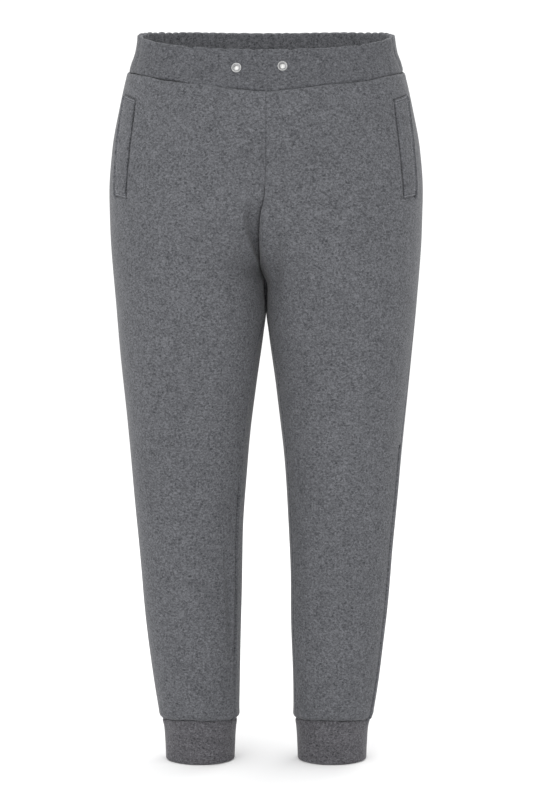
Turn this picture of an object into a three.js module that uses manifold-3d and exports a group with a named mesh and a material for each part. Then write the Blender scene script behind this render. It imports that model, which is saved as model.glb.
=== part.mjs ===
// Jogger sweatpants in brushed fleece, filled out as they are worn, with no wearer in them.
// Millimetres, +Z up. The wearer faces -Y, so the wearer's left is +X.
// The origin is the centre of the waist, level with the middle of the waistband at the sides.

import * as THREE from "three";
import Module from "manifold-3d";
import { mergeVertices } from "three/addons/utils/BufferGeometryUtils.js";

const wasm = await Module();
wasm.setup();

// Cloth thicknesses, and the clearance that sewn pieces keep
const FLEECE = 1.6;
const CUFF_CLOTH = 2.8;
const WELT_CLOTH = 2.4;
const BAND_CLOTH = 4.4;
const SEAM_GAP = 0.3;
const HALF_GAP_OF_LEGS = 0.2;

// Heights at the side of the body
const BAND_TOP = 26;
const BAND_SEAM = -24;
const CROTCH = -291;
const CUFF_SEAM = -890;
const HEM = -944;

// How far the waist drops at the front and rises at the back. even is the share of the drop that
// grows evenly from the sides, and tip the share that comes only at the centre seam.
const TOP_EDGE = { front: -28, back: 11, even: 1, tip: 0 };
const BAND_EDGE = { front: -33, back: 12, even: 0.55, tip: 0.13 };
const TIP_WIDTH = 0.2;
const LEVEL_BELOW_BAND = 150;

// How far a cuff's seam rises at the front of the ankle, and where the leg starts to follow it
const CUFF_RISE = 5;
const CUFF_RISE_STARTS = -830;

// How fast the two legs join above the crotch, and how round the crotch seam is underneath
const CROTCH_REACH = 65;
const CROTCH_BEND = 600;

// One row for each level of the body, from the waistband's seam down to the cuff.
// z is the height at the side. out and inner are the x of a leg's outer and inner side,
// front and back its y, and square the exponent of its rounded outline, 2 for an ellipse.
const BODY = [
  { z: BAND_SEAM, out: 182.5, inner: 0, front: -117, back: 118, square: 2.2 },
  { z: -38, out: 186.8, inner: 0, front: -118, back: 122, square: 2.2 },
  { z: -73, out: 194.6, inner: 0, front: -119, back: 130, square: 2.2 },
  { z: -127, out: 204.3, inner: 0, front: -118, back: 138, square: 2.2 },
  { z: -183, out: 209.1, inner: 0, front: -116, back: 141, square: 2.2 },
  { z: -233, out: 207.5, inner: 0, front: -112, back: 137, square: 2.15 },
  { z: CROTCH, out: 203.8, inner: 0, front: -106, back: 126, square: 2.1 },
  { z: -343, out: 199.8, inner: 0.3, front: -100, back: 116, square: 2.1 },
  { z: -366, out: 197.5, inner: 2.8, front: -97, back: 112, square: 2.1 },
  { z: -443, out: 189.9, inner: 13.6, front: -89, back: 100, square: 2.1 },
  { z: -543, out: 180.4, inner: 24.8, front: -74, back: 86, square: 2.05 },
  { z: -643, out: 171.6, inner: 31.2, front: -64, back: 80, square: 2 },
  { z: -743, out: 162.9, inner: 33.5, front: -57, back: 75, square: 2 },
  { z: -823, out: 153.8, inner: 35.4, front: -52, back: 70, square: 2 },
  { z: -865, out: 147.4, inner: 36.3, front: -49.5, back: 66, square: 2 },
  { z: -881, out: 144.4, inner: 36.7, front: -48, back: 64, square: 2 },
  { z: CUFF_SEAM, out: 141.6, inner: 38.6, front: -45, back: 60, square: 2 },
];

// The same columns for the waistband's outside, from its top edge down to its seam
const BAND = [
  { z: BAND_TOP, out: 168.8, front: -105, back: 105, square: 2.2 },
  { z: 13, out: 170.2, front: -106.5, back: 107, square: 2.2 },
  { z: 2, out: 172.2, front: -108.5, back: 109, square: 2.2 },
  { z: -8, out: 175.6, front: -111.5, back: 112.5, square: 2.2 },
  { z: -19, out: 179.8, front: -115.2, back: 116, square: 2.2 },
  { z: BAND_SEAM, out: 181.4, front: -116.2, back: 117.2, square: 2.2 },
];

// The same columns for a cuff's outside, from its seam down to the folded hem
const CUFF = [
  { z: CUFF_SEAM, out: 140.3, inner: 39.2, front: -43.8, back: 58.8, square: 2 },
  { z: -903, out: 137.6, inner: 40.5, front: -43, back: 57.3, square: 2 },
  { z: -914, out: 136.4, inner: 41.4, front: -42.4, back: 56.5, square: 2 },
  { z: -931, out: 135.5, inner: 41.8, front: -42.1, back: 56, square: 2 },
  { z: HEM, out: 135.3, inner: 42, front: -42, back: 55.8, square: 2 },
];

// The front of the crotch seam swings to the wearer's right where the cloth folds over it
const SEAM_SWING = [
  { z: BAND_SEAM, x: 0 },
  { z: -160, x: -1 },
  { z: -212, x: -3 },
  { z: -240, x: -9 },
  { z: -280, x: -8 },
  { z: -305, x: -1 },
  { z: -343, x: 0 },
  { z: HEM, x: 0 },
];
const SWING_WIDTH = 45;

// Soft folds beside the crotch, each along a line seen from the front or the back
const FOLDS = [
  { side: "front", x1: 16, z1: -222, x2: 14, z2: -300, width: 16, depth: 3 },
  { side: "front", x1: -26, z1: -178, x2: -26, z2: -270, width: 17, depth: 3 },
  { side: "back", x1: 30, z1: -262, x2: 72, z2: -318, width: 22, depth: 4 },
  { side: "back", x1: -32, z1: -258, x2: -76, z2: -312, width: 22, depth: 4 },
];

// The two legs. A turn is how far, in degrees, a seam lies in front of the leg's side line,
// and weltTurn how far this leg's pocket welt lies in front of the place given below.
const LEGS = [
  { name: "left", sign: 1, outTurn: 17, inTurn: 18, weltTurn: 1.5 },
  { name: "right", sign: -1, outTurn: 4, inTurn: 28, weltTurn: -1 },
];
const OUT_TURN_STARTS = -205;
const OUT_TURN_FULL = -500;
const IN_TURN_FULL = -420;

// Pocket welts, by the angle round the hip and the height, and two eyelets in the band
const WELT = {
  top: -52, bottom: -188, slant: 4, outerTop: 14.5, outerBottom: 23.5, innerTop: 29.5, innerBottom: 35,
};
const EYELETS = [
  { name: "right", x: -38.1, rise: 0.518 },
  { name: "left", x: 20.8, rise: 0.582 },
];
const EYELET = { hole: 3, barrel: 3.5, flange: 6.5, roll: 1.1, lift: 0.65, cut: 3.9 };

// Gathers of the band: their spacing at the front and back, how far they puff and scallop,
// and the share of the scallops that is lost in the middle of the back
const GATHER = {
  frontPitch: 30, backPitch: 13.3, frontPuff: 0.35, backPuff: 1.7, scallop: 2, evenBack: 0.7,
};
const CHANNEL = { outer: 1.4, inner: 2.9, margin: 5, columns: 48 };

// Mesh steps
const FRONT_STEPS = 12;
const BACK_STEPS = 16;
const BODY_LEVELS = [
  BAND_SEAM, -38, -63, -101, -143, -183, -215, -239, -257, -271, -282, -288.5, CROTCH,
  -303, -322, -350, -395, -460, -545, -640, -735, -815, -862, -881, CUFF_SEAM,
];
const CUFF_STEPS = 36;
const EYELET_STEPS = 20;

const DEGREE = Math.PI / 180;
const smoothstep = (from, to, value) => THREE.MathUtils.smoothstep((value - from) / (to - from), 0, 1);

// The value of a table's column at height z, on a smooth line through its rows
function at(table, column, z) {
  const last = table.length - 1;
  let i = 0;
  while (i < last - 1 && z < table[i + 1].z) i++;
  const rise = (k) => (table[k + 1][column] - table[k][column]) / (table[k + 1].z - table[k].z);
  const slope = (k) => {
    if (k === 0) return rise(0);
    if (k === last) return rise(last - 1);
    const [above, below] = [rise(k - 1), rise(k)];
    return above * below <= 0 ? 0 : (2 * above * below) / (above + below);
  };
  const [from, to] = [table[i], table[i + 1]];
  const span = to.z - from.z;
  const t = THREE.MathUtils.clamp((z - from.z) / span, 0, 1);
  return (
    from[column] * (1 + 2 * t) * (1 - t) ** 2 +
    slope(i) * span * t * (1 - t) ** 2 +
    to[column] * t * t * (3 - 2 * t) -
    slope(i + 1) * span * t * t * (1 - t)
  );
}

// How far the waist's slope lifts or drops a point at an angle: 0 is the side, 90 the front
function slopeOf(edge, angle) {
  const forward = Math.sin(angle);
  if (forward < 0) return -edge.back * forward * (2 + forward);
  const tip = edge.tip * Math.exp(-((Math.cos(angle) / TIP_WIDTH) ** 2));
  return edge.front * (edge.even * forward + (1 - edge.even - edge.tip) * forward ** 4 + tip);
}

// How far a point near a cuff's seam is lifted by the seam's rise at the front
function cuffRise(angle, z) {
  const near = z > CUFF_SEAM ? smoothstep(CUFF_RISE_STARTS, CUFF_SEAM, z) : (z - HEM) / (CUFF_SEAM - HEM);
  return CUFF_RISE * Math.max(0, Math.sin(angle)) ** 2 * Math.max(0, near);
}

// How much of a leg's outline is still split from the other leg: 1 at the crotch, 0 at the band
function splitAt(z) {
  const above = z - CROTCH;
  if (above <= 0) return 1;
  const whole = BAND_SEAM - CROTCH;
  const fading = 1 - Math.min(1, above / whole) ** 2;
  return fading / (1 + (above / CROTCH_REACH) ** 2 + above / CROTCH_BEND);
}

// The outline of one leg at height z: its middle, its half width and half depth
function outline(table, z) {
  const out = at(table, "out", z);
  const split = splitAt(z);
  const inner = z > CROTCH ? (-out * (1 - split)) / (1 + split) : at(table, "inner", z);
  const [front, back] = [at(table, "front", z), at(table, "back", z)];
  return {
    x: (out + inner) / 2,
    y: (front + back) / 2,
    halfWidth: (out - inner) / 2,
    halfDepth: (back - front) / 2,
    square: at(table, "square", z),
  };
}

const power = (value, exponent) => Math.sign(value) * Math.abs(value) ** exponent;

function outlinePoint(o, angle, z) {
  return new THREE.Vector3(
    o.x + o.halfWidth * power(Math.cos(angle), 2 / o.square),
    o.y - o.halfDepth * power(Math.sin(angle), 2 / o.square),
    z,
  );
}

// The distance of a point from a fold's line, seen square on
function distanceTo(fold, x, z) {
  const line = new THREE.Vector2(fold.x2 - fold.x1, fold.z2 - fold.z1);
  const from = new THREE.Vector2(x - fold.x1, z - fold.z1);
  const t = THREE.MathUtils.clamp(from.dot(line) / line.lengthSq(), 0, 1);
  return from.sub(line.multiplyScalar(t)).length();
}

// A point of a leg's outside. The angle runs from the outer side, by the front, to the inner side.
function legBase(leg, angle, z) {
  const p = outlinePoint(outline(BODY, z), angle, z);
  const level = smoothstep(BAND_SEAM - LEVEL_BELOW_BAND, BAND_SEAM, z);
  p.x += HALF_GAP_OF_LEGS;
  p.z += slopeOf(BAND_EDGE, angle) * level + cuffRise(angle, z);
  const inFront = 1 - smoothstep(0, 0.4, -Math.sin(angle));
  const swing = at(SEAM_SWING, "x", z) * inFront * Math.exp(-((p.x / SWING_WIDTH) ** 2));
  p.x = leg.sign * p.x + swing;
  return p;
}

// A point and its outward direction on any surface given by an angle and a height
function facing(surface, angle, z) {
  const [turn, climb] = [1e-3, 0.05];
  const p = surface(angle, z);
  const round = surface(angle + turn, z).sub(surface(angle - turn, z));
  const up = surface(angle, z + climb).sub(surface(angle, z - climb));
  return { p, out: up.cross(round).normalize() };
}

// A point of a leg, moved out from the cloth's outside by a distance
function legPoint(leg, angle, z, away) {
  const { p, out } = facing((a, h) => legBase(leg, a, h), angle, z);
  out.multiplyScalar(leg.sign);
  const side = Math.sin(angle) > 0 ? "front" : "back";
  const facingView = Math.min(1, 1.6 * Math.abs(out.y));
  for (const fold of FOLDS) {
    if (fold.side !== side) continue;
    const near = Math.exp(-((distanceTo(fold, p.x, z) / fold.width) ** 2));
    p.addScaledVector(out, -fold.depth * near * facingView);
  }
  return p.addScaledVector(out, away);
}

// Angles of a leg's seams at height z
function seamsAt(leg, z) {
  const split = splitAt(z);
  const square = at(BODY, "square", z);
  const centre = Math.PI - Math.acos(split ** (square / 2));
  const outTurn = leg.outTurn * smoothstep(OUT_TURN_STARTS, OUT_TURN_FULL, z) * DEGREE;
  const inTurn = leg.inTurn * smoothstep(CROTCH, IN_TURN_FULL, z) * DEGREE;
  const below = z <= CROTCH;
  return {
    out: outTurn,
    frontInner: below ? Math.PI - inTurn : centre,
    backInner: below ? -Math.PI - inTurn : -centre,
  };
}

// A closed solid from triangles over shared points
function solidOf(points, faces) {
  const geometry = new THREE.BufferGeometry().setFromPoints(points);
  geometry.setIndex(faces.flat());
  return geometry;
}

// A panel of cloth: an outer and an inner grid of points, joined round its four edges
function panel(outer, inner) {
  const rows = outer.length;
  const columns = outer[0].length;
  const index = (layer, row, column) => (layer * rows + row) * columns + column;
  const faces = [];
  const wallUnder = (fromRow, fromColumn, toRow, toColumn) => {
    const [a, b] = [index(0, fromRow, fromColumn), index(0, toRow, toColumn)];
    const [c, d] = [index(1, fromRow, fromColumn), index(1, toRow, toColumn)];
    faces.push([b, a, c], [b, c, d]);
  };
  for (let row = 0; row < rows - 1; row++) {
    for (let column = 0; column < columns - 1; column++) {
      for (const layer of [0, 1]) {
        const [a, b] = [index(layer, row, column), index(layer, row, column + 1)];
        const [c, d] = [index(layer, row + 1, column), index(layer, row + 1, column + 1)];
        const quad = [[a, b, c], [b, d, c]];
        faces.push(...(layer === 0 ? quad : quad.map(([i, j, k]) => [i, k, j])));
      }
    }
    wallUnder(row + 1, 0, row, 0);
    wallUnder(row, columns - 1, row + 1, columns - 1);
  }
  for (let column = 0; column < columns - 1; column++) {
    wallUnder(0, column, 0, column + 1);
    wallUnder(rows - 1, column + 1, rows - 1, column);
  }
  return solidOf([...outer.flat(), ...inner.flat()], faces);
}

// A ring of cloth: loops of points round the body, one after another round the wall's own section
function ring(loops) {
  const columns = loops[0].length;
  const faces = [];
  loops.forEach((loop, row) => {
    const next = (row + 1) % loops.length;
    loop.forEach((_, column) => {
      const right = (column + 1) % columns;
      const [a, b] = [row * columns + column, row * columns + right];
      const [c, d] = [next * columns + column, next * columns + right];
      faces.push([a, b, c], [b, d, c]);
    });
  });
  return solidOf(loops.flat(), faces);
}

// Mirroring a leg turns its faces round, so they are turned back
function turned(geometry) {
  const faces = geometry.index.array;
  for (let i = 0; i < faces.length; i += 3) [faces[i + 1], faces[i + 2]] = [faces[i + 2], faces[i + 1]];
  return geometry;
}

// One quarter of the body: the cloth between a leg's outer seam and its inner or centre seam
function legPanel(leg, face) {
  const steps = face === "front" ? FRONT_STEPS : BACK_STEPS;
  const rowOf = (z, away) => {
    const seams = seamsAt(leg, z);
    const level = z === BAND_SEAM ? z - SEAM_GAP : z === CUFF_SEAM ? z + SEAM_GAP : z;
    const o = outline(BODY, z);
    const halfGap = SEAM_GAP / 2 / Math.hypot(o.halfWidth * Math.sin(seams.out), o.halfDepth);
    const [start, end] =
      face === "front"
        ? [seams.out + halfGap, seams.frontInner - (z <= CROTCH ? halfGap : 0)]
        : [seams.backInner + (z <= CROTCH ? halfGap : 0), seams.out - halfGap];
    return Array.from({ length: steps + 1 }, (_, i) =>
      legPoint(leg, start + ((end - start) * i) / steps, level, away),
    );
  };
  const geometry = panel(
    BODY_LEVELS.map((z) => rowOf(z, 0)),
    BODY_LEVELS.map((z) => rowOf(z, -FLEECE)),
  );
  return leg.sign > 0 ? geometry : turned(geometry);
}

// A folded welt that lies on the front panel, just off it
function pocketWelt(leg) {
  const [rows, columns] = [10, 3];
  const layer = (away) =>
    Array.from({ length: rows + 1 }, (_, j) => {
      const t = j / rows;
      const forward = t * (1.6 - 0.6 * t);
      const outer = WELT.outerTop + (WELT.outerBottom - WELT.outerTop) * forward;
      const inner = WELT.innerTop + (WELT.innerBottom - WELT.innerTop) * forward;
      return Array.from({ length: columns + 1 }, (_, i) => {
        const angle = (leg.weltTurn + outer + ((inner - outer) * i) / columns) * DEGREE;
        const z = WELT.top + (WELT.bottom - WELT.top) * t - (WELT.slant * i) / columns;
        return legPoint(leg, angle, z, away);
      });
    });
  const geometry = panel(layer(SEAM_GAP + WELT_CLOTH), layer(SEAM_GAP));
  return leg.sign > 0 ? geometry : turned(geometry);
}

// A point of the waistband. rise is 0 at its seam and 1 at its top edge.
function bandBase(angle, rise) {
  const z = BAND_SEAM + (BAND_TOP - BAND_SEAM) * rise;
  const p = outlinePoint(outline(BAND, z), angle, z);
  p.z += slopeOf(BAND_EDGE, angle) * (1 - rise) + slopeOf(TOP_EDGE, angle) * rise;
  return p;
}

function bandPoint(angle, rise, away) {
  const { p, out } = facing(bandBase, angle, rise);
  return p.addScaledVector(out, away);
}

// Uneven numbers from 0 to 1 that are the same each time
const uneven = (i) => Math.abs(Math.sin(i * 127.1 + 31.7) * 4375.85) % 1;

// 0 at the front of the band, 1 at the back and the sides
const gathered = (angle) => 1 - smoothstep(-0.15, 0.55, Math.sin(angle));

// The angles of the tucks between the gathers, all round from the front
function tuckAngles() {
  const angles = [0];
  let angle = 0;
  for (let i = 0; angle < 2 * Math.PI; i++) {
    const at90 = Math.PI / 2 + angle;
    const share = gathered(at90);
    const pitch = GATHER.frontPitch * (1 - share) + GATHER.backPitch * share;
    const reach = Math.hypot(BAND[0].out * Math.sin(at90), BAND[0].back * Math.cos(at90));
    angle += (pitch * (0.75 + 0.5 * uneven(i))) / reach;
    angles.push(angle);
  }
  const all = angles[angles.length - 1];
  return angles.map((a) => Math.PI / 2 + (a * 2 * Math.PI) / all);
}

// Columns of the band: three to a gather, each with how far it puffs out from its tucks
function bandColumns() {
  const tucks = tuckAngles();
  const perGather = 3;
  const columns = [];
  for (let i = 0; i < tucks.length - 1; i++) {
    const fullness = 0.6 + 0.4 * uneven(i + 50);
    for (let k = 0; k < perGather; k++) {
      const angle = tucks[i] + ((tucks[i + 1] - tucks[i]) * k) / perGather;
      columns.push({ angle, bulge: Math.sin((Math.PI * k) / perGather) * fullness });
    }
  }
  return columns;
}

// Where an eyelet sits on the band, and the turn from +Y to the band's outward direction there
function eyeletPlace(eyelet) {
  let angle = Math.acos(eyelet.x / BAND[0].out);
  for (let i = 0; i < 20; i++) {
    angle += (bandBase(angle, eyelet.rise).x - eyelet.x) / BAND[0].out;
  }
  const { p, out } = facing(bandBase, angle, eyelet.rise);
  const turn = new THREE.Quaternion().setFromUnitVectors(new THREE.Vector3(0, 1, 0), out);
  return { p, out, turn };
}

// A manifold solid from a three.js geometry, and back
function toManifold(geometry) {
  const bare = new THREE.BufferGeometry();
  bare.setAttribute("position", geometry.getAttribute("position"));
  bare.setIndex(geometry.index);
  const merged = mergeVertices(bare, 1e-4);
  return new wasm.Manifold(
    new wasm.Mesh({
      numProp: 3,
      vertProperties: merged.attributes.position.array,
      triVerts: new Uint32Array(merged.index.array),
    }),
  );
}

function fromManifold(solid) {
  const mesh = solid.getMesh();
  const geometry = new THREE.BufferGeometry();
  geometry.setAttribute("position", new THREE.BufferAttribute(new Float32Array(mesh.vertProperties), 3));
  geometry.setIndex(new THREE.BufferAttribute(new Uint32Array(mesh.triVerts), 1));
  return geometry;
}

// A plain band inside the waistband: its channel, or the elastic a clearance smaller all round
function innerBand(inset) {
  const columns = CHANNEL.columns;
  const edge = (CHANNEL.margin + inset) / (BAND_TOP - BAND_SEAM);
  const rises = [1 - edge, 0.62, 0.34, edge];
  const loop = (rise, away) =>
    Array.from({ length: columns }, (_, i) => bandPoint((i * 2 * Math.PI) / columns, rise, -away));
  const [outer, inner] = [CHANNEL.outer + inset, CHANNEL.inner - inset];
  return ring([
    ...rises.map((rise) => loop(rise, outer)),
    ...rises.toReversed().map((rise) => loop(rise, inner)),
  ]);
}

// The casing: cloth folded over at the top, with a channel for the elastic and two eyelet holes
function waistband() {
  const columns = bandColumns();
  const height = BAND_TOP - BAND_SEAM;
  const loop = (rise, depth, puffed) =>
    columns.map(({ angle, bulge }) => {
      const share = gathered(angle);
      const puff = (GATHER.frontPuff * (1 - share) + GATHER.backPuff * share) * bulge * puffed;
      const middle = 1 - GATHER.evenBack * smoothstep(0.8, 0.93, -Math.sin(angle));
      const tuck = (GATHER.scallop * middle * (0.25 + 0.75 * share) * (1 - bulge) * rise ** 2) / height;
      const side = depth < BAND_CLOTH / 2 ? 1 : -1;
      return bandPoint(angle, rise - tuck, side * puff - depth);
    });
  const fold = BAND_CLOTH / 2;
  const foldRise = 1 - fold / height;
  const base = SEAM_GAP / 2 / height;
  const outside = [[foldRise, 1], [0.7, 1], [0.4, 1], [0.14, 0.7], [base, 0.4]];
  const inside = [[base, 0.3], [0.5, 1], [foldRise, 1]];
  const overTop = [135, 90, 45].map((degrees) => degrees * DEGREE);
  const casing = toManifold(
    ring([
      ...outside.map(([rise, puffed]) => loop(rise, 0, puffed)),
      ...inside.map(([rise, puffed]) => loop(rise, BAND_CLOTH, puffed)),
      ...overTop.map((a) =>
        loop(foldRise + (fold * Math.sin(a)) / height, fold * (1 - Math.cos(a)), Math.abs(Math.cos(a))),
      ),
    ]),
  );
  let made = casing.subtract(toManifold(innerBand(0)));
  for (const eyelet of EYELETS) {
    const { p, out, turn } = eyeletPlace(eyelet);
    const length = 12;
    const bottom = CHANNEL.outer + SEAM_GAP;
    const cutter = new THREE.CylinderGeometry(EYELET.cut, EYELET.cut, length, EYELET_STEPS);
    cutter.applyQuaternion(turn);
    cutter.translate(...p.clone().addScaledVector(out, length / 2 - bottom).toArray());
    made = made.subtract(toManifold(cutter));
  }
  return fromManifold(made);
}

// A rolled metal eyelet: a domed flange outside the cloth and a barrel through it
function eyeletRing(eyelet) {
  const { p, turn } = eyeletPlace(eyelet);
  const { hole, barrel, flange, roll, lift } = EYELET;
  const barrelEnd = SEAM_GAP / 3 - CHANNEL.outer;
  const profile = [
    [hole, barrelEnd],
    [barrel, barrelEnd],
    [barrel, lift],
    [flange - 0.3, lift],
    [flange, lift + roll * 0.35],
    [flange - 0.5, lift + roll * 0.8],
    [(flange + hole) / 2 + 0.2, lift + roll],
    [hole + 0.5, lift + roll * 0.75],
    [hole, lift + roll * 0.2],
  ].map(([r, h]) => new THREE.Vector2(r, h));
  const shape = new THREE.LatheGeometry([...profile, profile[0]], EYELET_STEPS);
  shape.applyQuaternion(turn);
  shape.translate(p.x, p.y, p.z);
  return shape;
}

// A cuff: a tube of double cloth, rounded where it folds at the hem
function cuff(leg) {
  const surface = (angle, z) => {
    const p = outlinePoint(outline(CUFF, z), angle, z);
    p.x += HALF_GAP_OF_LEGS;
    p.z += cuffRise(angle, z);
    return p;
  };
  const top = CUFF_SEAM - SEAM_GAP / 2;
  const bend = CUFF_CLOTH / 2;
  const levels = [
    [top, 0], [-896, 0], [-903, 0], [-914, 0], [-928, 0],
    [HEM + bend, 0], [HEM, bend * 0.6], [HEM, CUFF_CLOTH - bend * 0.6], [HEM + bend, CUFF_CLOTH],
    [-914, CUFF_CLOTH], [top, CUFF_CLOTH],
  ];
  const loops = levels.map(([z, depth]) =>
    Array.from({ length: CUFF_STEPS }, (_, i) => {
      const { p, out } = facing(surface, (i * 2 * Math.PI) / CUFF_STEPS, z);
      p.addScaledVector(out.setZ(0).normalize(), -depth);
      p.x *= leg.sign;
      return p;
    }),
  );
  const geometry = ring(loops);
  return leg.sign > 0 ? geometry : turned(geometry);
}

// Colours of the cloth and metal
const cloth = (name, color) =>
  new THREE.MeshStandardMaterial({ name, color, roughness: 0.95, metalness: 0 });
const fleece = cloth("fleece", 0x6a6b6f);
const cuffCloth = cloth("cuff cloth", 0x5f5f63);
const elastic = cloth("elastic", 0xf2f2f0);
const nickel = new THREE.MeshStandardMaterial({
  name: "nickel", color: 0xc9c9c7, roughness: 0.3, metalness: 1,
});

const sweatpants = new THREE.Group();
function add(name, geometry, material) {
  geometry.computeVertexNormals();
  const mesh = new THREE.Mesh(geometry, material);
  mesh.name = name;
  sweatpants.add(mesh);
}

add("waistband", waistband(), fleece);
add("waist_elastic", innerBand(SEAM_GAP), elastic);
for (const eyelet of EYELETS) add(`eyelet_${eyelet.name}`, eyeletRing(eyelet), nickel);
for (const leg of LEGS) {
  add(`front_${leg.name}`, legPanel(leg, "front"), fleece);
  add(`back_${leg.name}`, legPanel(leg, "back"), fleece);
  add(`pocket_welt_${leg.name}`, pocketWelt(leg), fleece);
  add(`cuff_${leg.name}`, cuff(leg), cuffCloth);
}

export default sweatpants;
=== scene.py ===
import math

import bmesh
import bpy
import numpy as np
from mathutils import Matrix, Vector


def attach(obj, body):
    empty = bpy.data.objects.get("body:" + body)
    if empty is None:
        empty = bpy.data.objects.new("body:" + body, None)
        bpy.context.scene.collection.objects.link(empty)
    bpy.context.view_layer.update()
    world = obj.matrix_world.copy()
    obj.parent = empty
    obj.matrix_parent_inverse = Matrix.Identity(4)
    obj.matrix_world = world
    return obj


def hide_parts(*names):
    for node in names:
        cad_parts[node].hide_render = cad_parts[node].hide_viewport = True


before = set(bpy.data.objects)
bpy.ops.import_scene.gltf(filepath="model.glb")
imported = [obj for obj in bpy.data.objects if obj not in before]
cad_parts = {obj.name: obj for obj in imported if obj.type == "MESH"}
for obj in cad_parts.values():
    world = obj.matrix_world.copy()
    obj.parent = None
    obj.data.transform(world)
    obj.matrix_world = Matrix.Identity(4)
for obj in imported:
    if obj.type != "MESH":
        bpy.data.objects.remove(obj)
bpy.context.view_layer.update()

bpy.ops.object.select_all(action="DESELECT")


# Fronts and backs of the legs
# Four pieces of brushed cotton fleece, cut in one from the waist to the ankle, 1.6 mm thick.
# Each is overlocked to its neighbours inside, so a seam shows only as a soft groove.

# Sizes are in millimetres: x runs to the wearer's left, y to the back and z up. The heights are
# those of the waistband's top and its seam, the crotch, and a cuff's seam and hem.
MM = 0.001
FLEECE = 1.6
BAND_TOP, BAND_SEAM, CROTCH, CUFF_SEAM, HEM = 26, -24, -291, -890, -944


def columns(names, rows):
    """A table with a name for each of its columns."""
    return dict(zip(names.split(), np.array(rows, float).T))


# x of a leg's outer and inner side, y of its front and back, and the power of its rounded outline
BODY = columns("z out inner front back square", [
    (-24, 182.5, 0, -117, 118, 2.2),
    (-38, 186.8, 0, -118, 122, 2.2),
    (-73, 194.6, 0, -119, 130, 2.2),
    (-127, 204.3, 0, -118, 138, 2.2),
    (-183, 209.1, 0, -116, 141, 2.2),
    (-233, 207.5, 0, -112, 137, 2.15),
    (-291, 203.8, 0, -106, 126, 2.1),
    (-341, 199.8, 0, -100, 116, 2.1),
    (-366, 197.5, 2.8, -97, 112, 2.1),
    (-443, 189.9, 13.6, -89, 100, 2.1),
    (-543, 180.4, 24.8, -74, 86, 2.05),
    (-643, 171.6, 31.2, -64, 80, 2),
    (-743, 162.9, 33.5, -57, 75, 2),
    (-823, 153.8, 35.4, -52, 70, 2),
    (-865, 147.4, 36.3, -49.5, 66, 2),
    (-881, 144.4, 36.7, -48, 64, 2),
    (-890, 141.6, 38.6, -45, 60, 2),
])

# x of the centre seam and the front of the crotch, and how far from it the cloth swings along
SEAM_SWING = columns("z x", [
    (-24, 0), (-160, -1), (-188, -2), (-202, -5), (-218, -8), (-240, -9), (-280, -8), (-305, -1),
    (-343, 0), (-944, 0),
])
SWING_WIDTH = 45

# The two legs. A turn is how far, in degrees, a seam lies in front of the leg's side line, and
# welt_turn how far this leg's pocket welt lies in front of the place given below.
LEGS = {
    "left": {"sign": 1, "out_turn": 17, "in_turn": 18, "welt_turn": 1.5},
    "right": {"sign": -1, "out_turn": 4, "in_turn": 28, "welt_turn": -1},
}


def along(table, name, z):
    """The value of a table's column at height z, on a smooth line through its rows."""
    heights, values = table["z"], table[name]
    span = np.diff(heights)
    rise = np.diff(values) / span
    both = rise[:-1] * rise[1:]
    total = np.where(both > 0, rise[:-1] + rise[1:], 1)
    slopes = np.concatenate([rise[:1], np.where(both > 0, 2 * both / total, 0), rise[-1:]])
    z = np.clip(z, heights[-1], heights[0])
    i = np.clip(np.searchsorted(-heights, -z, side="right") - 1, 0, len(span) - 1)
    t = (z - heights[i]) / span[i]
    return (
        values[i] * (1 + 2 * t) * (1 - t) ** 2
        + slopes[i] * span[i] * t * (1 - t) ** 2
        + values[i + 1] * t * t * (3 - 2 * t)
        - slopes[i + 1] * span[i] * t * t * (1 - t)
    )


def smooth(start, end, value):
    """0 up to the start, 1 from the end on, with an easy rise between them."""
    t = np.clip((value - start) / (end - start), 0, 1)
    return t * t * (3 - 2 * t)


def power(value, exponent):
    return np.sign(value) * np.abs(value) ** exponent


def ridge(distance, height, width):
    """The height of a rounded ridge at a distance from its middle."""
    return height * np.exp(-((distance / width) ** 2))


def ditch(distance, depth, width):
    return ridge(distance, -depth, width)


# The waist's drop at the front and rise at the back, the share of the drop that grows evenly
# from the sides, and the share that comes only at the centre seam. The slope dies out 150 mm
# below the waist. A cuff's seam rises at its front, and the leg above it with it.
TOP_EDGE = (-28, 11, 1, 0)
BAND_EDGE = (-33, 12, 0.55, 0.13)
TIP_WIDTH = 0.2
LEVEL_BELOW_BAND = 150
CUFF_RISE, CUFF_RISE_STARTS = 5, -830


def slope_of(edge, angle):
    """How far the slope of the waist lifts or drops a point: angle 0 is the side, 90 the front."""
    front, back, even, tip = edge
    forward = np.sin(angle)
    at_tip = ridge(np.cos(angle), tip, TIP_WIDTH)
    drop = front * (even * forward + (1 - even - tip) * forward**4 + at_tip)
    return np.where(forward < 0, -back * forward * (2 + forward), drop)


def cuff_rise(angle, z):
    """How far a point near a cuff's seam is lifted by the seam's rise at the front of the ankle."""
    above = smooth(CUFF_RISE_STARTS, CUFF_SEAM, z)
    near = np.where(z > CUFF_SEAM, above, (z - HEM) / (CUFF_SEAM - HEM))
    return CUFF_RISE * np.maximum(0, np.sin(angle)) ** 2 * np.clip(near, 0, 1)


# Distances above the crotch over which the parting of the legs closes, a short and a long one
CROTCH_REACH, CROTCH_BEND = 65, 600


def split_at(z):
    """How far one leg's outline is parted from the other: 1 at the crotch, 0 at the waistband."""
    above = np.maximum(z - CROTCH, 0)
    fading = 1 - np.minimum(above / (BAND_SEAM - CROTCH), 1) ** 2
    return fading / (1 + (above / CROTCH_REACH) ** 2 + above / CROTCH_BEND)


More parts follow.
